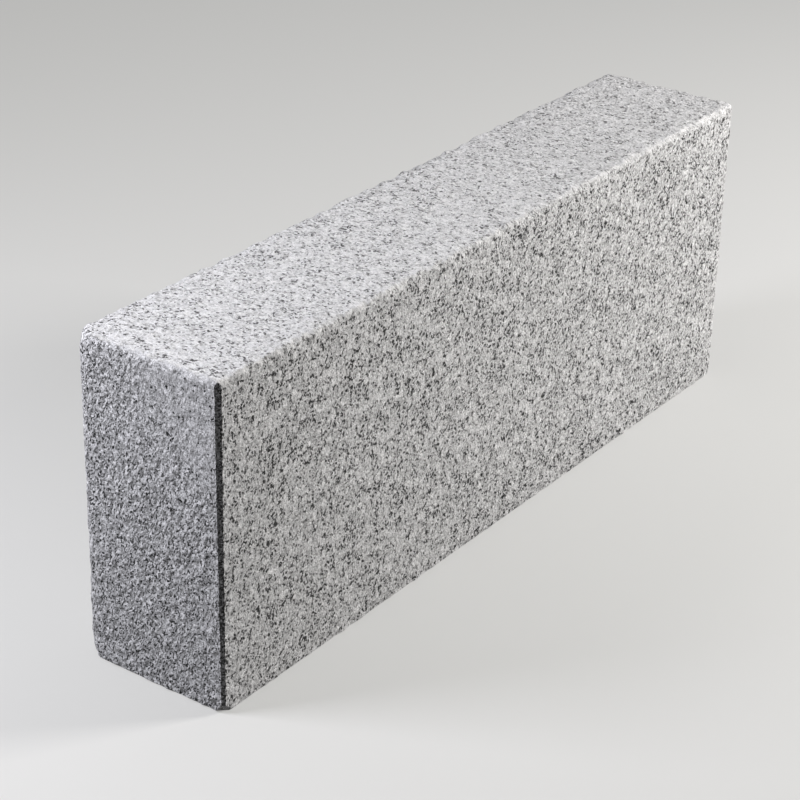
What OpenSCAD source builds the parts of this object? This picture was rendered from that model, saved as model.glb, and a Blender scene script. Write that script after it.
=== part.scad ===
// Granite kerb stone: one sawn block with dressed faces, its arrises rounded over, one
// upright arris sawn off flat and the bed corner below it chipped.
// The origin is the middle of the bed. X runs along the kerb line from the near end to the
// far end, Y from the road face to the back, Z up from the bed.

/* [Stone] */
// Length along the kerb line
stone_length = 800; // [400:10:1200]
// Width from the road face to the back
stone_width = 150; // [100:5:300]
// Height from the bed to the top
stone_height = 300; // [200:5:450]

/* [Rounded arrises] */
// Rounding all round the top
top_arris_r = 4.5; // [2:0.5:9]
// Rounding all round the bed
bed_arris_r = 2.5; // [2:0.5:9]
// Rounding of the two upright arrises at the far end
far_arris_r = 9; // [9:0.5:30]
// Rounding of the worn upright arris between the near end and the back
worn_arris_r = 14; // [9:0.5:30]

/* [Sawn arris] */
// Width of the sawn flat between the near end and the road face, at the top
saw_flat_top = 5.5; // [2:0.1:12]
// Width of the same flat at the bed
saw_flat_bed = 3.5; // [2:0.1:12]
// Reach along the arrises of the chip knocked off the corner below the sawn flat
chip_reach = 11; // [8:0.5:30]

/* [Hidden] */

granite_grey = [0.70, 0.70, 0.69];
$fn = 96;

// How far a cutting shape reaches past the face that it cuts
cut_over = 2;

// Upright arrises anticlockwise in plan, from the near end's road arris. That one is left
// sharp, for the saw.
half_length = stone_length / 2;
half_width = stone_width / 2;
corner_at = [
    [-half_length, -half_width],
    [half_length, -half_width],
    [half_length, half_width],
    [-half_length, half_width]
];
corner_r = [0, far_arris_r, far_arris_r, worn_arris_r];
side_length = [stone_length, stone_width, stone_length, stone_width];

// The sawn flat leans, because it is wider at the top than at the bed.
saw_depth_top = saw_flat_top / 2;
saw_depth_bed = saw_flat_bed / 2;
saw_lean = atan2(saw_depth_top - saw_depth_bed, stone_height);
saw_sweep = 2 * stone_height;

// The chip's face leans equally to the three faces that meet at its corner.
chip_tilt = atan(1 / sqrt(2));
chip_depth = chip_reach / sqrt(3);
// Cutting block that is wide enough to clear the whole chip
chip_block = 4 * chip_reach;

// What rounding over takes off a square arris. The arris is at the origin, and the stone
// lies to the left of it and below.
module rounding_waste(r) {
    difference() {
        translate([-r, -r]) square(r + cut_over);
        translate([-r, -r]) circle(r);
    }
}

// Puts children on upright arris i, turned so that the stone's side i runs along +X
module on_corner(i) {
    translate(corner_at[i])
        rotate(90 * i)
            children();
}

// Squared block with its upright arrises rounded
module sawn_block() {
    linear_extrude(stone_height)
        difference() {
            square([stone_length, stone_width], center = true);
            for (i = [0 : 3])
                if (corner_r[i] > 0)
                    on_corner(i) rotate(180) rounding_waste(corner_r[i]);
        }
}

// Rounding along side i, from one upright arris to the next. It runs past a sharp one.
module side_waste(i, r) {
    next = (i + 1) % len(corner_at);
    start = corner_r[i] > 0 ? corner_r[i] : -cut_over;
    stop = side_length[i] - (corner_r[next] > 0 ? corner_r[next] : -cut_over);
    on_corner(i)
        translate([stop, 0, 0])
            rotate([90, 0, -90])
                linear_extrude(stop - start)
                    rounding_waste(r);
}

// Rounding turned round upright arris i
module turn_waste(i, r) {
    on_corner(i)
        translate([corner_r[i], corner_r[i], 0])
            rotate(180)
                rotate_extrude(angle = 90)
                    intersection() {
                        translate([corner_r[i], 0]) rounding_waste(r);
                        translate([0, -r]) square(corner_r[i] + r + cut_over);
                    }
}

// Rounding all round the stone's outline, at height 0, below which the stone lies
module rim_waste(r) {
    for (i = [0 : 3]) {
        side_waste(i, r);
        if (corner_r[i] > 0)
            turn_waste(i, r);
    }
}

// What the saw takes off the near end's road arris
module saw_waste() {
    on_corner(0)
        rotate(45)
            translate([saw_depth_bed, 0, 0])
                rotate([0, saw_lean, 0])
                    translate([-saw_sweep, -saw_sweep / 2, -saw_sweep / 2])
                        cube([saw_sweep, saw_sweep, 2 * saw_sweep]);
}

// Chip off the corner where the sawn arris meets the bed
module chip_waste() {
    on_corner(0)
        rotate([0, -chip_tilt, 45])
            translate([chip_depth - chip_block, -chip_block / 2, -chip_block / 2])
                cube(chip_block);
}

module kerb_stone() {
    color(granite_grey)
        difference() {
            sawn_block();
            translate([0, 0, stone_height]) rim_waste(top_arris_r);
            mirror([0, 0, 1]) rim_waste(bed_arris_r);
            saw_waste();
            chip_waste();
        }
}

kerb_stone();
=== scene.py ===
"""Granite kerb stone: one dressed block, modelled on its CAD frame and set on a studio floor."""

import math
from functools import partial
from types import SimpleNamespace

import bmesh
import bpy
from bpy.props import FloatProperty, FloatVectorProperty, IntProperty, PointerProperty
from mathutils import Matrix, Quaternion, Vector


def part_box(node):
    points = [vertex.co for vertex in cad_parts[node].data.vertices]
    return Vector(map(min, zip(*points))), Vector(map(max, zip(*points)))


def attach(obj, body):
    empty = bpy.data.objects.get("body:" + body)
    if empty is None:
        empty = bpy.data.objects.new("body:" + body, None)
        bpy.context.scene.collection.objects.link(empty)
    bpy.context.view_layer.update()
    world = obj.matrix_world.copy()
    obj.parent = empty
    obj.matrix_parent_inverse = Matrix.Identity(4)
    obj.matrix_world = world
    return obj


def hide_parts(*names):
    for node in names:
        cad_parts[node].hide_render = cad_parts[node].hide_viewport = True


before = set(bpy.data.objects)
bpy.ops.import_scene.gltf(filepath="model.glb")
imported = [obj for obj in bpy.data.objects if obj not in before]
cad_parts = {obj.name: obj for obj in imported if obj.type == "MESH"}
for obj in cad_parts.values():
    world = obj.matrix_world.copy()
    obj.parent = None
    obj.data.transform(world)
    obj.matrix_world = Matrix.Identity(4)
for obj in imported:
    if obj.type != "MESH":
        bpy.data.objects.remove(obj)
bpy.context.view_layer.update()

bl_info = {
    "name": "Granite Kerb Stone",
    "version": (1, 0, 0),
    "blender": (4, 5, 0),
    "location": "View3D > Sidebar > Kerb Stone",
    "description": "Models a dressed granite kerb stone and sets it on a studio floor",
    "category": "Object",
}

NODE = "kerb_stone"
BODY = "root"
PIECE = "dressed_stone"

MM = 0.001
LOW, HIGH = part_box(NODE)

# Two places closer than this are the same place.
SAME = 0.02 * MM
# Two directions whose dot product is above this are the same direction.
ALIGNED = 0.999
MOST_TRIANGLES = 200_000
# Most cuts that one subdivide makes
MOST_CUTS = 100
# Profile of a bevel that follows an arc
ARC = 0.5
# Equal bays of the long faces' stretch beside the near end
CORNER_BAYS = 3
# Cuts across each edge of the chip's face
CHIP_CUTS = 2
# The bed keeps its cells within this many reaches of the wear from its worn corner.
BED_KEPT = 2
# Faces that meet at less than this angle are shaded as one.
SMOOTH_ANGLE = math.radians(40)

# The relief sets in over these distances from the bed and from the sawn flat, which stay plane.
BED_FADE = 2 * MM
SAW_FADE = 4 * MM
# The losses along an arris are full this near to it, and reach this many times the top's rounding.
ARRIS_FULL = 1 * MM
ARRIS_REACH = 2
# The pick marks are full this near to an end.
END_FULL = 0.5 * MM
# Layers of ever finer waves in a relief
RELIEF_LAYERS = 2
# Level of a relief's texture that stays in place, and the contrast of the texture: as they come, and
# for the losses, which cut in more than they stand out
EVEN_LEVEL = 0.5
EVEN_CONTRAST = 1
LOSS_LEVEL = 0.6
LOSS_CONTRAST = 1.3

# Kinds of shader node and their settings, as the materials use them
MATH = "ShaderNodeMath"
VECTOR = "ShaderNodeVectorMath"
RANGE = "ShaderNodeMapRange"
NOISE = "ShaderNodeTexNoise"
VORONOI = "ShaderNodeTexVoronoi"
CHANNELS = "ShaderNodeSeparateColor"
MIX = "ShaderNodeMix"
PLUS = {"operation": "ADD"}
MINUS = {"operation": "SUBTRACT"}
TIMES = {"operation": "MULTIPLY"}
LEAST = {"operation": "MINIMUM"}
MOST = {"operation": "MAXIMUM"}
BELOW = {"operation": "LESS_THAN"}
DOT = {"operation": "DOT_PRODUCT"}
APART = {"operation": "DISTANCE"}
STRETCH = {"operation": "SCALE"}
EVEN = {"interpolation_type": "LINEAR"}
SMOOTH = {"interpolation_type": "SMOOTHSTEP"}
BORDERS = {"feature": "DISTANCE_TO_EDGE"}
COLOURS = {"data_type": "RGBA"}
TINTS = {"data_type": "RGBA", "blend_type": "MULTIPLY", "clamp_result": True}
# Sockets of a Mix node that mixes colours
FACTOR = 0
UNDER = 6
OVER = 7
MIXED = 2
# Layers of finer waves that a noise has
PLAIN = 1
FINE = 2
# A share from nothing to all, and the middle of a noise and of a cell's colour
WHOLE = (0, 1)
MIDDLE = 0.5
MIDDLE_COLOUR = (MIDDLE, MIDDLE, MIDDLE)

# Where each look of the granite sets in: the distance at which it is absent, and the one at which it is full
END_EDGE = (4 * MM, 1 * MM)
TOP_EDGE = (3.5 * MM, 1 * MM)
WORN_PATCH = (145 * MM, 30 * MM)
BRUISE_EDGE = (7 * MM, 3 * MM)
# Painted highlight: the road arris whitens along this run towards the far end, where the key lamp lights it
# most.
HIGHLIGHT_RUN = (350 * MM, 750 * MM)
BRUISE_RIM = (12 * MM, 6 * MM)
ROAD_SIDE = (-1 * MM, 2 * MM)
FLAT_SHADE_EDGE = (0.2 * MM, -0.2 * MM)
# The same within a cell of a pattern, in shares of the cell
LARGE_EDGE = (0.62, 0.40)
PIT_EDGE = (0.28, 0.16)
CREVICE_EDGE = (0.16, 0.06)
# The same in a noise, whose values lie about its middle
CLUSTER_NOISE = (0.3, 0.7)
MOTTLE_NOISE = (0.30, 0.70)
OPEN_NOISE = (0.48, 0.56)
PIT_NOISE = (0.55, 0.59)
THIN_NOISE = (0.42, 0.60)
# How much lighter or darker a crystal is than its mineral, and the mottling in it
CRYSTAL_TONES = (0.86, 1.10)
MOTTLE_TONES = (0.82, 1.13)
# Roughness of the crystals' facets
FACET_ROUGHNESS = (0.7, 0.95)
# The crystals are shorter along the stone, by this factor.
CRYSTAL_SQUEEZE = 1.2
# Shifts in mm that keep two patterns of cells from falling together
LARGE_SHIFT = (40, 40, 40)
FLECK_SHIFT = (80, 80, 80)
# Way that the pick was drawn over the ends
PICK_WAY = (0, -0.46, 0.888)
# How far the sawn flat's painted shade frays: at the end face, and towards the road face
FRAY = (1 * MM, 9 * MM)
# How far the sawn flat's painted shade thins to a lighter grey: at the bed and at the top, and as a factor at
# the end face and towards the road face
THIN_HEIGHT = (0.6, 0.35)
THIN_SIDE = (0.5, 1)

# Lamps: name, place, point that it faces, side of its square face, all in metres, and tint
LAMPS = (
    ("overhead", (-0.20, 0.375, 1.77), (-0.1, 0, 0.3), 1.2, "#fffefd"),
    ("key", (1.42, -1.5, 1.1), (0.1, 0, 0.15), 0.6, "#fffcfa"),
    ("fill", (-1.0, 0.655, 0.916), (-0.4, 0, 0.15), 0.5, "#f6f6ff"),
)
FLOOR_SIDE = 40
SENSOR_MM = 36


def linear(code):
    """Linear colour of an sRGB hex value."""
    shares = [int(code[i:i + 2], 16) / 255 for i in (1, 3, 5)]
    return tuple(s / 12.92 if s <= 0.04045 else ((s + 0.055) / 1.055) ** 2.4 for s in shares)


def length(name, description, default_mm):
    """A size property, given in millimetres."""
    return FloatProperty(name=name, description=description, default=default_mm * MM, min=0, precision=4,
                         subtype="DISTANCE", unit="LENGTH")


def colour(name, description, code):
    """A colour property, given as an sRGB hex value."""
    return FloatVectorProperty(name=name, description=description, default=linear(code), size=3, min=0, max=1,
                               subtype="COLOR")


def angle(name, description, default_deg):
    """An angle property, given in degrees."""
    return FloatProperty(name=name, description=description, default=math.radians(default_deg),
                         subtype="ANGLE", unit="ROTATION")


def share(name, description, default):
    """A property between 0 and 1."""
    return FloatProperty(name=name, description=description, default=default, min=0, max=1, subtype="FACTOR")


def power(name, description, default):
    """A lamp's power property, in watts."""
    return FloatProperty(name=name, description=description, default=default, min=0, unit="POWER")


class KERB_PG_shape(bpy.types.PropertyGroup):
    """Arrises, cuts and relief of the stone"""

    top_arris: length("Top arris", "Rounding all round the top", 4.5)
    bed_arris: length("Bed arris", "Rounding all round the bed", 2.5)
    far_arris: length("Far arrises", "Rounding of the two upright arrises at the far end", 9)
    worn_arris: length("Worn arris", "Rounding of the upright arris between the near end and the back", 14)
    arris_steps: IntProperty(name="Arris steps", description="Flats that make up each rounding",
                             default=5, min=2)
    saw_flat_top: length("Sawn flat, top", "Width at the top of the flat on the near end's road arris", 5.5)
    saw_flat_bed: length("Sawn flat, bed", "Width of the same flat at the bed", 3.5)
    chip_reach: length("Chip", "Reach of the chip off the corner below the sawn flat", 11)
    corner_wear: length("Worn corners", "How far the corners at the near end's back are worn in", 2.5)
    corner_reach: length("Wear reach", "How far round a corner that wear reaches", 13)
    grid: length("Grid", "Size of the mesh's cells on the faces", 3.2)
    wave: length("Waviness", "Depth of the slow waves on the dressed faces", 0.5)
    wave_pitch: length("Wave pitch", "Distance between the slow waves", 70)
    dressing: length("Dressing", "Depth of the dressing marks on the long faces and the top", 0.9)
    dressing_pitch: length("Dressing pitch", "Distance between the dressing marks", 7)
    picking: length("Picking", "Depth of the pick marks on the two ends", 2.6)
    picking_pitch: length("Picking pitch", "Distance between the pick marks", 8)
    nibbling: length("Nibbling", "Depth of the small losses along the arrises", 4.5)
    nibbling_pitch: length("Nibbling pitch", "Distance between the losses", 13)


class KERB_PG_granite(bpy.types.PropertyGroup):
    """Minerals, grain and broken surface of the granite"""

    ground: colour("Ground", "Pale grey feldspar between the grains", "#e2e2e2")
    white: colour("White feldspar", "White feldspar grains", "#f6f6f6")
    quartz: colour("Quartz", "Grey, half-clear quartz grains", "#b4b4b4")
    biotite: colour("Biotite", "Black mica flecks", "#161616")
    # Painted shade: this dark colour in the crevices and the pick's pits stands in for the shade that falls
    # in them.
    crevice: colour("Crevices", "Shadowed dust between the broken crystals", "#2c2c2c")
    # Painted shade: the sawn flat's dark colour stands in for the shade on that flat, which faces away from
    # the lamps.
    saw_shade_colour: colour("Sawn arris", "Dark stain on the sawn flat", "#2b2a29")

    crystal: length("Crystals", "Size of the small crystals", 2.0)
    large_crystal: length("Large crystals", "Size of the large white crystals", 7.5)
    fleck: length("Flecks", "Size of the mica flecks", 1.75)
    cluster: length("Clusters", "Distance between the clusters of dark crystals", 9)
    mottle: length("Mottling", "Size of the mottling in a crystal", 0.9)
    wander: length("Wander", "How far the crystals' borders wander", 2.0)
    wander_pitch: length("Wander pitch", "Distance between the bends of a border", 2.6)
    opening: length("Openings", "Distance between the open stretches of the crevices", 3)
    pit: length("Pits", "Distance between the pits that the pick leaves on the ends", 1.9)
    pit_opening: length("Pit openings", "Distance between the open stretches of the pits", 1.4)
    lump: length("Lumps", "Width of the lumps that the pick leaves on the ends", 4.2)
    broken: length("Breaks", "Width of the breaks all over the stone", 2.2)
    # Grain of the painted shade on the sawn flat
    flat_shade_grain: length("Stain grain", "Size of the grain in the sawn flat's stain", 1.8)

    coloured: share("Not white", "Share of the small crystals that are not white", 0.78)
    darker: share("Quartz and mica", "Share of the small crystals that are quartz or mica", 0.34)
    black: share("Mica", "Share of the small crystals that are mica", 0.14)
    flecked: share("Flecked", "Share of the flecks' places that hold a mica fleck", 0.075)
    clustering: share("Clustering", "How much the shares of dark crystals rise and fall in clusters", 0.10)
    end_paler: share("Paler ends", "How much the shares of dark crystals fall on the ends", 0.03)
    top_paler: share("Paler top", "How much the shares of dark crystals fall on the top", 0.065)
    large_white: share("Large white", "Share of the large crystals that are white", 0.30)
    large_cover: share("Large cover", "How far a large crystal covers the small ones", 0.85)
    pit_stretch: share("Pit stretch", "How far the pits are drawn out along the pick's way", 0.62)
    worn_marks: share("Worn marks", "What the near end's upper road corner keeps of the pick's marks", 0.42)

    end_bruise: share("Bruised ends", "How far picking turns the crystals of the ends pale grey", 0.82)
    top_bruise: share("Bruised top", "How far dressing turns the top pale grey", 0.12)
    # Partly knocks, partly painted highlight: the road arris whitens from the first to the second value
    # towards the far end, where the key lamp lights it most.
    arris_bruise_and_highlight: share("Bruised arris", "Whiteness of the top's road arris in its near half", 0.15)
    rim_bruise_and_highlight: share("Bruised rim", "Whiteness of the top's near arris and its road arris's far end", 0.6)
    # Painted shade: how far the crevices of the long faces, the ends and the top are darkened
    crevice_shade_share: share("Dark crevices", "How dark the crevices of the long faces are", 0.5)
    end_crevice_shade_share: share("Dark end crevices", "How dark the crevices of the ends are", 0.4)
    top_crevice_shade_share: share("Top crevices", "What is left of the crevices on the top", 0.4)

    facet_lean: share("Facets", "How far the crystals' facets lean", 0.5)
    end_facet_lean: share("End facets", "How far the facets lean on the ends", 1.0)
    broken_depth: length("Break depth", "Depth of the breaks", 0.5)
    end_broken_depth: length("End break depth", "Depth of the breaks on the ends", 0.3)
    lump_depth: length("Lump depth", "Height of the lumps on the ends", 3.2)
    pit_depth: length("Pit depth", "Depth of the pits on the ends", 0.4)
    crevice_depth: length("Crevice depth", "Depth of the crevices", 0.25)


class KERB_PG_stage(bpy.types.PropertyGroup):
    """Floor, lamps and camera"""

    floor: colour("Floor", "Pale studio floor", "#dededc")
    floor_glow: share("Floor glow", "Share of its own light in the floor that the camera sees", 0.5)
    floor_bounce: colour("Floor bounce", "Floor as the stone sees it, so that little light comes from below",
                         "#6f6f6f")
    ambient: FloatProperty(name="Ambient", description="Strength of the even light from all round",
                           default=0.08, min=0)
    overhead_power: power("Overhead", "Power of the lamp above", 3.7)
    key_power: power("Key", "Power of the lamp on the road face", 57.5)
    fill_power: power("Fill", "Power of the cool lamp on the near end", 15.2)
    view_azimuth: angle("Azimuth", "Turn of the view about the upright, from the road face", -54.41)
    view_elevation: angle("Elevation", "Height of the view above level", 26.97)
    view_roll: angle("Roll", "Turn of the camera about its own axis", 1.25)
    view_distance: length("Distance", "Distance from the camera to its aim", 2035.5)
    view_aim: FloatVectorProperty(name="Aim", description="Point that the middle of the image looks at",
                                  default=(-97.7 * MM, -26.5 * MM, 150 * MM),
                                  subtype="TRANSLATION", unit="LENGTH")
    lens: FloatProperty(name="Lens", description="Focal length on a 36 mm sensor", default=103.6,
                        unit="CAMERA")


def select_none(kind):
    """Sets whether edges, faces or vertices are selected, with none selected yet."""
    bpy.ops.mesh.select_mode(type=kind)
    bpy.ops.mesh.select_all(action="DESELECT")


def pick(kind, test):
    """Selects the edges or faces of the edited mesh that pass a test, and no others. Says how many."""
    select_none(kind)
    mesh = bpy.context.edit_object.data
    shape = bmesh.from_edit_mesh(mesh)
    items = shape.edges if kind == "EDGE" else shape.faces
    chosen = [item for item in items if test(item)]
    for item in chosen:
        item.select_set(True)
    bmesh.update_edit_mesh(mesh)
    return len(chosen)


def cut(place, normal, remove=False):
    """Bisects the whole stone by a plane, and takes off what lies beyond it where asked."""
    bpy.ops.mesh.select_all(action="SELECT")
    bpy.ops.mesh.bisect(plane_co=place, plane_no=normal, use_fill=remove, clear_outer=remove, threshold=SAME)


def round_arris(test, radius, steps):
    """Rounds over the edges that pass a test."""
    if not pick("EDGE", test):
        raise RuntimeError("no arris found to round")
    bpy.ops.mesh.bevel(offset=radius, offset_type="OFFSET", segments=steps, profile=ARC, affect="EDGES")


def is_upright(x, y):
    """Test for the upright edge at a plan corner."""
    return lambda e: all(abs(v.co.x - x) < SAME and abs(v.co.y - y) < SAME for v in e.verts)


def is_level(z):
    """Test for the edges at a height."""
    return lambda e: all(abs(v.co.z - z) < SAME for v in e.verts)


def spans(axis, start, stop):
    """Test for the edges that run from one plane to another along an axis."""
    def test(e):
        ends = sorted(v.co[axis] for v in e.verts)
        return abs(ends[0] - start) < SAME and abs(ends[1] - stop) < SAME
    return test


def divide(axis, start, stop, cell):
    """Divides the edges that run between two planes into cells of about a size."""
    parts = max(1, round((stop - start) / cell))
    first = math.ceil(parts / MOST_CUTS)
    second = round(parts / first)
    bay = (stop - start) / first
    bays = [(start + bay * k, start + bay * (k + 1)) for k in range(first)]
    for count, stretches in ((first, [(start, stop)]), (second, bays)):
        if count < 2:
            continue
        tests = [spans(axis, *stretch) for stretch in stretches]
        if not pick("EDGE", lambda e: any(test(e) for test in tests)):
            raise RuntimeError("no edges found to divide")
        bpy.ops.mesh.subdivide(number_cuts=count - 1, smoothness=0)


def block_in(shape):
    """The squared block with its arrises rounded and one sawn off, in as few faces as that takes."""
    bpy.ops.object.select_all(action="DESELECT")
    bpy.ops.mesh.primitive_cube_add(size=1, location=(LOW + HIGH) / 2, scale=HIGH - LOW)
    stone = bpy.context.object
    bpy.ops.object.transform_apply(location=True, rotation=True, scale=True)
    bpy.ops.object.mode_set(mode="EDIT")
    round_arris(is_upright(HIGH.x, LOW.y), shape.far_arris, shape.arris_steps)
    round_arris(is_upright(HIGH.x, HIGH.y), shape.far_arris, shape.arris_steps)
    round_arris(is_upright(LOW.x, HIGH.y), shape.worn_arris, shape.arris_steps)
    round_arris(is_level(HIGH.z), shape.top_arris, shape.arris_steps)
    round_arris(is_level(LOW.z), shape.bed_arris, shape.arris_steps)
    saw_arris(shape)
    return stone


def saw_arris(shape):
    """Saws the sharp upright arris off to a flat that is wider at the top."""
    depth_top = shape.saw_flat_top / 2
    depth_bed = shape.saw_flat_bed / 2
    inward = Vector((1, 1, 0)).normalized()
    lean = (depth_top - depth_bed) / (HIGH.z - LOW.z)
    cut(LOW + inward * depth_bed, -inward + Vector((0, 0, lean)), remove=True)


def grid_faces(shape):
    """Divides the faces into small cells, as many as the relief needs."""
    # The lines clear the mitres where the roundings of the rims start to turn round the corners.
    mitre = max(shape.top_arris, shape.bed_arris)
    x_lines = (LOW.x + shape.worn_arris + mitre, HIGH.x - shape.far_arris - mitre)
    y_lines = (LOW.y + shape.far_arris + mitre, HIGH.y - shape.worn_arris - mitre)
    z_lines = (LOW.z + shape.bed_arris, HIGH.z - shape.top_arris)
    # Extra lines where the sharp corner and the wide turn leave wide cells
    x_extra = [LOW.x + (x_lines[0] - LOW.x) * k / CORNER_BAYS for k in range(1, CORNER_BAYS)]
    y_extra = [(LOW.y + y_lines[0]) / 2, (y_lines[1] + HIGH.y - shape.top_arris) / 2]
    for axis, lines in enumerate(((*x_lines, *x_extra), (*y_lines, *y_extra), z_lines)):
        normal = Vector((0, 0, 0))
        normal[axis] = 1
        for line in lines:
            cut(normal * line, normal)
    for axis, lines in enumerate((x_lines, y_lines, z_lines)):
        divide(axis, *lines, shape.grid)


def chip_corner(shape):
    """Knocks the bed corner off below the sawn arris, and leaves a face of small cells there."""
    inward = Vector((1, 1, 1)).normalized()
    cut(LOW + inward * shape.chip_reach / math.sqrt(3), -inward, remove=True)
    if not pick("FACE", lambda f: f.normal.dot(-inward) > ALIGNED):
        raise RuntimeError("no chip found")
    bpy.ops.mesh.quads_convert_to_tris()
    bpy.ops.mesh.subdivide(number_cuts=CHIP_CUTS, smoothness=0)


def plane_bed(shape):
    """Joins the cells of the bed, which stays plane, but for those near its worn corner."""
    corner = Vector((LOW.x, HIGH.y, LOW.z))
    clear = BED_KEPT * shape.corner_reach
    pick("FACE", lambda f: f.normal.z < -ALIGNED and (f.calc_center_median() - corner).length > clear)
    bpy.ops.mesh.dissolve_faces()


def refine(shape):
    """Halves the cells of the near end and along the top's near and road arrises, the roughest places."""
    reach = ARRIS_REACH * shape.top_arris

    def is_rough(face):
        middle = face.calc_center_median()
        on_end = face.normal.x < -ALIGNED
        by_top = HIGH.z - middle.z < reach
        return on_end or by_top and (middle.y - LOW.y < reach or middle.x - LOW.x < reach)

    pick("FACE", is_rough)
    bpy.ops.mesh.subdivide(number_cuts=1, smoothness=0, ngon=False)


def wear_corners(shape):
    """Wears in the corners at the near end's back."""
    for z, upward in ((LOW.z, 1), (HIGH.z, -1)):
        corner = Vector((LOW.x, HIGH.y, z))
        inward = Vector((1, -1, upward)).normalized()
        select_none("VERT")
        mesh = bpy.context.edit_object.data
        points = bmesh.from_edit_mesh(mesh)
        min(points.verts, key=lambda v: (v.co - corner).length).select_set(True)
        bmesh.update_edit_mesh(mesh)
        bpy.ops.transform.translate(
            value=inward * shape.corner_wear, use_proportional_edit=True,
            proportional_edit_falloff="SMOOTH", proportional_size=shape.corner_reach)


def smooth_step(value, start, stop):
    """0 before start, 1 after stop, and a smooth rise between them."""
    rise = min(1.0, max(0.0, (value - start) / (stop - start)))
    return rise * rise * (3 - 2 * rise)


def weights_at(place, shape):
    """How much of each kind of relief a point of the stone has: (dressing, picking, losses)."""
    to_end = min(place.x - LOW.x, HIGH.x - place.x)
    to_side = min(place.y - LOW.y, HIGH.y - place.y)
    to_bed = place.z - LOW.z
    to_level = min(to_bed, HIGH.z - place.z)
    # An arris lies where two faces are near.
    to_arris = sorted((to_end, to_side, to_level))[1]
    height = to_bed / (HIGH.z - LOW.z)
    saw_depth = (shape.saw_flat_bed + (shape.saw_flat_top - shape.saw_flat_bed) * height) / 2
    to_saw = ((place.x - LOW.x) + (place.y - LOW.y)) / math.sqrt(2) - saw_depth
    face = smooth_step(to_bed, 0, BED_FADE) * smooth_step(to_saw, 0, SAW_FADE)
    arris = 1 - smooth_step(to_arris, ARRIS_FULL, ARRIS_REACH * shape.top_arris)
    end = 1 - smooth_step(to_end, END_FULL, shape.top_arris)
    return face * (1 - end), face * end, face * arris


def wear(stone, shape):
    """Works the dressing, the pick marks and the losses along the arrises into the mesh."""
    names = ("dressed", "picked", "arris")
    groups = [stone.vertex_groups.new(name=name) for name in names]
    for vertex in stone.data.vertices:
        for group, weight in zip(groups, weights_at(vertex.co, shape)):
            if weight > 0:
                group.add([vertex.index], weight, "REPLACE")
    # Each relief: the vertices it works on, its pitch, depth and contrast, and the level that stays in place
    reliefs = (
        ("wave", "dressed", shape.wave_pitch, shape.wave, EVEN_CONTRAST, EVEN_LEVEL),
        ("dressing", "dressed", shape.dressing_pitch, shape.dressing, EVEN_CONTRAST, EVEN_LEVEL),
        ("picking", "picked", shape.picking_pitch, shape.picking, EVEN_CONTRAST, EVEN_LEVEL),
        ("nibbling", "arris", shape.nibbling_pitch, shape.nibbling, LOSS_CONTRAST, LOSS_LEVEL),
    )
    for name, group, pitch, depth, contrast, level in reliefs:
        texture = bpy.data.textures.new(name, "CLOUDS")
        texture.noise_scale = pitch
        texture.noise_depth = RELIEF_LAYERS
        texture.contrast = contrast
        relief = stone.modifiers.new(name, "DISPLACE")
        relief.texture = texture
        relief.texture_coords = "LOCAL"
        relief.vertex_group = group
        relief.strength = depth
        relief.mid_level = level
        bpy.ops.object.modifier_apply(modifier=name)


def add_node(tree, kind, settings=None, inputs=()):
    """Adds a node with its settings. Its inputs, by name or number or else in order, get values, or links
    from sockets or from nodes' first outputs."""
    node = tree.nodes.new(kind)
    for name, value in (settings or {}).items():
        setattr(node, name, value)
    for name, value in inputs.items() if isinstance(inputs, dict) else enumerate(inputs):
        source = value.outputs[0] if isinstance(value, bpy.types.Node) else value
        if isinstance(source, bpy.types.NodeSocket):
            tree.links.new(source, node.inputs[name])
        else:
            node.inputs[name].default_value = source
    return node


def new_material(name):
    """An empty material, and what adds a node to it."""
    material = bpy.data.materials.new(name)
    material.use_nodes = True
    material.node_tree.nodes.clear()
    return material, partial(add_node, material.node_tree)


def place_on_stone(add, look):
    """Where a point lies: distances in metres, its place in mm, and how far on an end or the top it is."""
    place = add("ShaderNodeTexCoord").outputs["Object"]
    x, y, z = add("ShaderNodeSeparateXYZ", None, (place,)).outputs
    along = add(MATH, MINUS, (x, LOW.x))
    across = add(MATH, MINUS, (y, LOW.y))
    from_top = add(MATH, MINUS, (HIGH.z, z))
    from_end = add(MATH, LEAST, (along, add(MATH, MINUS, (HIGH.x, x))))
    end = add(RANGE, SMOOTH, (from_end, *END_EDGE))
    top = add(RANGE, SMOOTH, (from_top, *TOP_EDGE))
    # The near end is smoother towards its upper road corner.
    from_corner = add(VECTOR, APART, (place, (LOW.x, LOW.y, HIGH.z))).outputs["Value"]
    worn = add(RANGE, SMOOTH, (from_corner, *WORN_PATCH))
    rough_end = add(MATH, TIMES, (end, add(RANGE, EVEN, (worn, *WHOLE, 1, look.worn_marks))))
    in_mm = add(VECTOR, TIMES, (place, (CRYSTAL_SQUEEZE / MM, 1 / MM, 1 / MM)))
    # The crystals' borders wander a little.
    bend = add(NOISE, None, {"Vector": in_mm, "Scale": MM / look.wander_pitch, "Detail": PLAIN})
    bend = add(VECTOR, MINUS, (bend.outputs["Color"], MIDDLE_COLOUR))
    reach = look.wander / MM
    ragged = add(VECTOR, PLUS, (in_mm, add(VECTOR, TIMES, (bend, (reach, reach, reach)))))
    return SimpleNamespace(z=z, along=along, across=across, from_top=from_top, end=end, top=top,
                           rough_end=rough_end, in_mm=in_mm, ragged=ragged)


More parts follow.
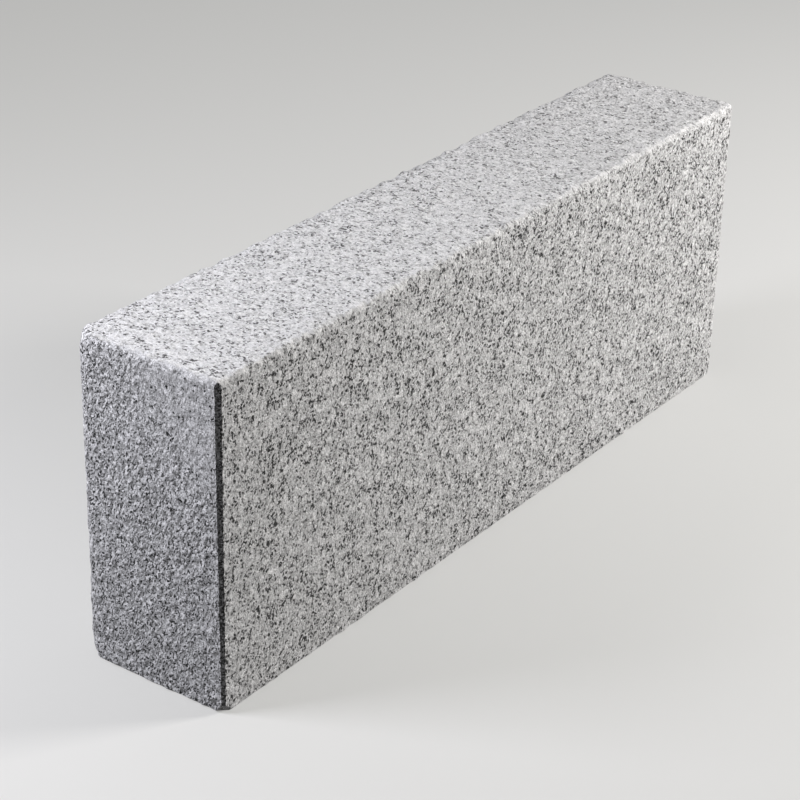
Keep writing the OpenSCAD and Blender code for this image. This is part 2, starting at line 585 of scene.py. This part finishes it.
def minerals(add, look, at):
    """Packed small crystals, each a cell of one mineral, with large white ones between them."""
    cells = add(VORONOI, None, {"Vector": at.ragged, "Scale": MM / look.crystal})
    kind, lightness, gloss = add(CHANNELS, None, (cells.outputs["Color"],)).outputs
    # Dark crystals gather in loose clusters.
    clusters = add(NOISE, None, {"Vector": at.in_mm, "Scale": MM / look.cluster, "Detail": FINE})
    paler = add(RANGE, EVEN, (clusters, *CLUSTER_NOISE, -look.clustering, look.clustering))
    paler = add(MATH, PLUS, (paler, add(MATH, TIMES, (at.end, look.end_paler))))
    paler = add(MATH, PLUS, (paler, add(MATH, TIMES, (at.top, look.top_paler))))
    kind = add(MATH, PLUS, (kind, paler))
    shade = (*look.white, 1)
    for tint, part in ((look.ground, look.coloured), (look.quartz, look.darker), (look.biotite, look.black)):
        is_kind = add(MATH, BELOW, (kind, part))
        shade = add(MIX, COLOURS, {FACTOR: is_kind, UNDER: shade, OVER: (*tint, 1)}).outputs[MIXED]
    shifted = add(VECTOR, PLUS, (at.ragged, LARGE_SHIFT))
    large = add(VORONOI, None, {"Vector": shifted, "Scale": MM / look.large_crystal})
    is_white = add(MATH, BELOW, (add(CHANNELS, None, (large.outputs["Color"],)), look.large_white))
    pale = add(MATH, TIMES, (is_white, add(RANGE, SMOOTH, (large.outputs["Distance"], *LARGE_EDGE))))
    pale = add(MATH, TIMES, (pale, look.large_cover))
    shade = add(MIX, COLOURS, {FACTOR: pale, UNDER: shade, OVER: (*look.white, 1)}).outputs[MIXED]
    return SimpleNamespace(cells=cells, lightness=lightness, gloss=gloss, paler=paler, pale=pale, shade=shade)


def bruises_and_highlight(add, look, at, grain):
    """The crystals bruised pale by the pick and by knocks on the top's arrises, with a painted highlight
    along the top's road arris, mottled, with mica flecks.
    """
    bruised = add(MATH, TIMES, (at.end, look.end_bruise))
    shade = add(MIX, COLOURS, {FACTOR: bruised, UNDER: grain.shade, OVER: (*look.ground, 1)}).outputs[MIXED]
    # Knocks whiten the top's near arris and its road arris; the road arris's whitening, which grows towards
    # the far end, is partly a painted highlight where the key lamp lights it most.
    from_arris = add(MATH, MOST, (at.from_top, add(MATH, LEAST, (at.along, at.across))))
    on_arris = add(RANGE, SMOOTH, (from_arris, *BRUISE_EDGE))
    highlight_run = add(RANGE, SMOOTH, (at.along, *HIGHLIGHT_RUN, look.arris_bruise_and_highlight, look.rim_bruise_and_highlight))
    by_rim = add(RANGE, SMOOTH, (at.along, *BRUISE_RIM, 0, look.rim_bruise_and_highlight))
    knocked_and_highlit = add(MATH, TIMES, (on_arris, add(MATH, MOST, (highlight_run, by_rim))))
    shade = add(MIX, COLOURS, {FACTOR: knocked_and_highlit, UNDER: shade, OVER: (*look.white, 1)}).outputs[MIXED]
    # Each crystal is a little lighter or darker, and mottled.
    mottle = add(NOISE, None, {"Vector": at.in_mm, "Scale": MM / look.mottle, "Detail": PLAIN})
    for tone in (add(RANGE, EVEN, (grain.lightness, *WHOLE, *CRYSTAL_TONES)),
                 add(RANGE, EVEN, (mottle, *MOTTLE_NOISE, *MOTTLE_TONES))):
        shade = add(MIX, TINTS, {FACTOR: 1, UNDER: shade, OVER: tone}).outputs[MIXED]
    # Mica flecks lie between the crystals, and not on what is white.
    shifted = add(VECTOR, PLUS, (at.ragged, FLECK_SHIFT))
    flecks = add(VORONOI, None, {"Vector": shifted, "Scale": MM / look.fleck})
    kind = add(MATH, PLUS, (add(CHANNELS, None, (flecks.outputs["Color"],)), grain.paler))
    bare = add(MATH, MINUS, (1, add(MATH, MOST, (grain.pale, knocked_and_highlit))))
    is_fleck = add(MATH, TIMES, (add(MATH, BELOW, (kind, look.flecked)), bare))
    return add(MIX, COLOURS, {FACTOR: is_fleck, UNDER: shade, OVER: (*look.biotite, 1)}).outputs[MIXED]


def breaks(add, look, at, shade):
    """Crevices between the broken crystals, and the slanting pits that the pick leaves on the ends, both
    darkened with painted shade.
    """
    borders = add(VORONOI, BORDERS, {"Vector": at.ragged, "Scale": MM / look.crystal})
    opening = add(NOISE, None, {"Vector": at.in_mm, "Scale": MM / look.opening, "Detail": PLAIN})
    crevice = add(MATH, TIMES, (add(RANGE, SMOOTH, (borders, *CREVICE_EDGE)),
                                add(RANGE, SMOOTH, (opening, *OPEN_NOISE))))
    # The pits follow the borders of cells that are drawn out along the pick's way.
    run = add(VECTOR, DOT, (at.ragged, PICK_WAY)).outputs["Value"]
    stretch = add(VECTOR, STRETCH, {0: PICK_WAY, "Scale": add(MATH, TIMES, (run, look.pit_stretch))})
    picked = add(VECTOR, MINUS, (at.ragged, stretch))
    borders = add(VORONOI, BORDERS, {"Vector": picked, "Scale": MM / look.pit})
    opening = add(NOISE, None, {"Vector": picked, "Scale": MM / look.pit_opening, "Detail": PLAIN})
    pit = add(MATH, TIMES, (add(RANGE, SMOOTH, (opening, *PIT_NOISE)),
                            add(RANGE, SMOOTH, (borders, *PIT_EDGE))))
    pit = add(MATH, TIMES, (pit, at.rough_end))
    # Painted shade: the crevices and pits are darkened towards the crevice colour, as the shade that falls in
    # them.
    dark = add(RANGE, EVEN, (at.end, *WHOLE, look.crevice_shade_share, look.end_crevice_shade_share))
    dark = add(MATH, TIMES, (dark, add(RANGE, EVEN, (at.top, *WHOLE, 1, look.top_crevice_shade_share))))
    dark = add(MATH, MOST, (add(MATH, TIMES, (crevice, dark)), pit))
    shade = add(MIX, COLOURS, {FACTOR: dark, UNDER: shade, OVER: (*look.crevice, 1)}).outputs[MIXED]
    # Dressing leaves the whole top a little paler.
    bruised = add(MATH, TIMES, (at.top, look.top_bruise))
    shade = add(MIX, COLOURS, {FACTOR: bruised, UNDER: shade, OVER: (*look.ground, 1)}).outputs[MIXED]
    return SimpleNamespace(crevice=crevice, picked=picked, pit=pit, shade=shade)


def sawn_flat_shade(add, look, at, shape, shade):
    """Painted shade on the sawn flat, standing in for the shade that falls on it: sharp at the end face,
    frayed at the road face, thinner towards the bed.
    """
    height = add(RANGE, EVEN, (at.z, LOW.z, HIGH.z))
    widths = (shape.saw_flat_bed / math.sqrt(2), shape.saw_flat_top / math.sqrt(2))
    width = add(RANGE, EVEN, (height, *WHOLE, *widths))
    past = add(MATH, MINUS, (add(MATH, PLUS, (at.along, at.across)), width))
    road_side = add(RANGE, SMOOTH, (add(MATH, MINUS, (at.along, at.across)), *ROAD_SIDE))
    fray = add(RANGE, EVEN, (road_side, *WHOLE, *FRAY))
    grain = add(NOISE, None, {"Vector": at.in_mm, "Scale": MM / look.flat_shade_grain, "Detail": FINE})
    border = add(MATH, TIMES, (add(MATH, MINUS, (grain, MIDDLE)), fray))
    sawn = add(RANGE, SMOOTH, (add(MATH, PLUS, (past, border)), *FLAT_SHADE_EDGE))
    thin = add(RANGE, SMOOTH, (grain, *THIN_NOISE))
    thin = add(MATH, TIMES, (thin, add(RANGE, EVEN, (height, *WHOLE, *THIN_HEIGHT))))
    thin = add(MATH, TIMES, (thin, add(RANGE, EVEN, (road_side, *WHOLE, *THIN_SIDE))))
    # Painted shade: the sawn flat is darkened to this colour, mottled lighter where the shade thins.
    flat_shade = add(MIX, COLOURS, {FACTOR: thin, UNDER: (*look.saw_shade_colour, 1), OVER: (*look.quartz, 1)})
    shade = add(MIX, COLOURS, {FACTOR: sawn, UNDER: shade, OVER: flat_shade.outputs[MIXED]}).outputs[MIXED]
    return sawn, shade


def broken_relief(add, look, at, grain, broken, sawn):
    """Height of the broken surface in mm. Each crystal's facet leans its own way, steeply on the ends."""
    from_middle = add(VECTOR, MINUS, (at.ragged, grain.cells.outputs["Position"]))
    lean = add(VECTOR, MINUS, (grain.cells.outputs["Color"], MIDDLE_COLOUR))
    facet = add(VECTOR, DOT, (from_middle, lean)).outputs["Value"]
    steep = add(RANGE, EVEN, (at.rough_end, *WHOLE, look.facet_lean, look.end_facet_lean))
    height = add(MATH, TIMES, (facet, steep))
    depth = add(RANGE, EVEN, (at.rough_end, *WHOLE, look.broken_depth / MM, look.end_broken_depth / MM))
    chips = add(NOISE, None, {"Vector": at.in_mm, "Scale": MM / look.broken, "Detail": PLAIN})
    height = add(MATH, PLUS, (height, add(MATH, TIMES, (chips, depth))))
    lumps = add(NOISE, None, {"Vector": broken.picked, "Scale": MM / look.lump, "Detail": PLAIN})
    rise = add(MATH, TIMES, (at.rough_end, look.lump_depth / MM))
    height = add(MATH, PLUS, (height, add(MATH, TIMES, (lumps, rise))))
    for hollow, depth in ((broken.pit, look.pit_depth), (broken.crevice, look.crevice_depth)):
        height = add(MATH, MINUS, (height, add(MATH, TIMES, (hollow, depth / MM))))
    return add(MATH, TIMES, (height, add(MATH, MINUS, (1, sawn))))


def granite(look, shape):
    """Grey granite with hammered faces and picked ends."""
    # It gives the eye a dry, matt stone, speckled black and white, whose broken crystals each catch the
    # light their own way. Feldspar's IOR is near the shader's own.
    material, add = new_material("dressed_grey_granite")
    at = place_on_stone(add, look)
    grain = minerals(add, look, at)
    broken = breaks(add, look, at, bruises_and_highlight(add, look, at, grain))
    sawn, shade = sawn_flat_shade(add, look, at, shape, broken.shade)
    relief = broken_relief(add, look, at, grain, broken, sawn)
    bump = add("ShaderNodeBump", None, {"Height": relief, "Distance": MM, "Strength": 1})
    gloss = add(RANGE, EVEN, (grain.gloss, *WHOLE, *FACET_ROUGHNESS))
    surface = add("ShaderNodeBsdfPrincipled", None, {"Base Color": shade, "Roughness": gloss, "Normal": bump})
    add("ShaderNodeOutputMaterial", None, {"Surface": surface})
    return material


def studio_floor(stage):
    """Matt studio floor: pale and even to the eye, darker to the stone, so that it throws little light up."""
    material, add = new_material("matt_studio_floor")
    path = add("ShaderNodeLightPath")
    seen = path.outputs["Is Camera Ray"]
    for ray in ("Is Glossy Ray", "Is Transmission Ray"):
        seen = add(MATH, MOST, (seen, path.outputs[ray]))
    shade = add(MIX, COLOURS, {FACTOR: seen, UNDER: (*stage.floor_bounce, 1), OVER: (*stage.floor, 1)})
    matt = add("ShaderNodeBsdfDiffuse", None, {"Color": shade.outputs[MIXED]})
    glow = add("ShaderNodeEmission", None, {"Color": (*stage.floor, 1)})
    glowing = add(MATH, TIMES, (seen, stage.floor_glow))
    surface = add("ShaderNodeMixShader", None, (glowing, matt, glow))
    add("ShaderNodeOutputMaterial", None, {"Surface": surface})
    return material


def hang_lamp(name, place, aim, side, watts, tint):
    """A soft square lamp that faces a point."""
    light = bpy.data.lights.new(name, "AREA")
    light.shape = "RECTANGLE"
    light.size = side
    light.size_y = side
    light.energy = watts
    light.color = linear(tint)
    holder = bpy.data.objects.new(name, light)
    holder.location = place
    holder.rotation_euler = (Vector(aim) - Vector(place)).to_track_quat("-Z", "Y").to_euler()
    bpy.context.scene.collection.objects.link(holder)


def set_camera(scene, stage):
    """The camera, at its distance from the aim."""
    back = Vector((math.sin(stage.view_azimuth) * math.cos(stage.view_elevation),
                   -math.cos(stage.view_azimuth) * math.cos(stage.view_elevation),
                   math.sin(stage.view_elevation)))
    camera = bpy.data.objects.new("camera", bpy.data.cameras.new("camera"))
    camera.data.lens = stage.lens
    camera.data.sensor_width = SENSOR_MM
    camera.location = Vector(stage.view_aim) + back * stage.view_distance
    turn = (-back).to_track_quat("-Z", "Y") @ Quaternion((0, 0, 1), stage.view_roll)
    camera.rotation_euler = turn.to_euler()
    scene.collection.objects.link(camera)
    scene.camera = camera


class KERB_OT_stone(bpy.types.Operator):
    """Models the dressed stone in place of its CAD solid"""

    bl_idname = "kerb.stone"
    bl_label = "Model the stone"

    def execute(self, context):
        shape = context.scene.kerb_shape
        stone = block_in(shape)
        grid_faces(shape)
        chip_corner(shape)
        plane_bed(shape)
        refine(shape)
        wear_corners(shape)
        bpy.ops.mesh.select_all(action="SELECT")
        bpy.ops.mesh.normals_make_consistent(inside=False)
        bpy.ops.object.mode_set(mode="OBJECT")
        wear(stone, shape)
        bpy.ops.object.shade_smooth_by_angle(angle=SMOOTH_ANGLE)
        stone.name = PIECE
        stone.data.name = PIECE
        stone.data.materials.append(granite(context.scene.kerb_granite, shape))
        stone.data.calc_loop_triangles()
        count = len(stone.data.loop_triangles)
        if count > MOST_TRIANGLES:
            raise RuntimeError(f"the stone has {count} triangles")
        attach(stone, BODY)
        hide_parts(NODE)
        return {"FINISHED"}


class KERB_OT_stage(bpy.types.Operator):
    """Sets up the floor, the lamps and the camera"""

    bl_idname = "kerb.stage"
    bl_label = "Set the stage"

    def execute(self, context):
        scene = context.scene
        stage = scene.kerb_stage
        bpy.ops.object.select_all(action="DESELECT")
        bpy.ops.mesh.primitive_plane_add(size=FLOOR_SIDE, location=(0, 0, LOW.z))
        floor = context.object
        floor.name = "floor"
        floor.data.materials.append(studio_floor(stage))

        for name, place, aim, side, tint in LAMPS:
            hang_lamp(name, place, aim, side, getattr(stage, f"{name}_power"), tint)
        world = bpy.data.worlds.new("studio")
        world.use_nodes = True
        sky = world.node_tree.nodes["Background"]
        sky.inputs["Color"].default_value = (1, 1, 1, 1)
        sky.inputs["Strength"].default_value = stage.ambient
        scene.world = world

        set_camera(scene, stage)
        scene.view_settings.view_transform = "Standard"
        return {"FINISHED"}


class KERB_PT_panel(bpy.types.Panel):
    """Sizes, colours and steps of the kerb stone"""

    bl_idname = "KERB_PT_panel"
    bl_label = "Kerb Stone"
    bl_space_type = "VIEW_3D"
    bl_region_type = "UI"
    bl_category = "Kerb Stone"

    def draw(self, context):
        scene = context.scene
        groups = ((scene.kerb_shape, None), (scene.kerb_granite, KERB_OT_stone),
                  (scene.kerb_stage, KERB_OT_stage))
        for settings, step in groups:
            box = self.layout.box()
            for name in settings.__annotations__:
                box.prop(settings, name)
            if step:
                box.operator(step.bl_idname)


CLASSES = (KERB_PG_shape, KERB_PG_granite, KERB_PG_stage, KERB_OT_stone, KERB_OT_stage, KERB_PT_panel)


def register():
    for item in CLASSES:
        bpy.utils.register_class(item)
    bpy.types.Scene.kerb_shape = PointerProperty(type=KERB_PG_shape)
    bpy.types.Scene.kerb_granite = PointerProperty(type=KERB_PG_granite)
    bpy.types.Scene.kerb_stage = PointerProperty(type=KERB_PG_stage)


def unregister():
    del bpy.types.Scene.kerb_stage
    del bpy.types.Scene.kerb_granite
    del bpy.types.Scene.kerb_shape
    for item in reversed(CLASSES):
        bpy.utils.unregister_class(item)


def main():
    register()
    bpy.ops.kerb.stone()
    bpy.ops.kerb.stage()


if __name__ == "__main__":
    main()
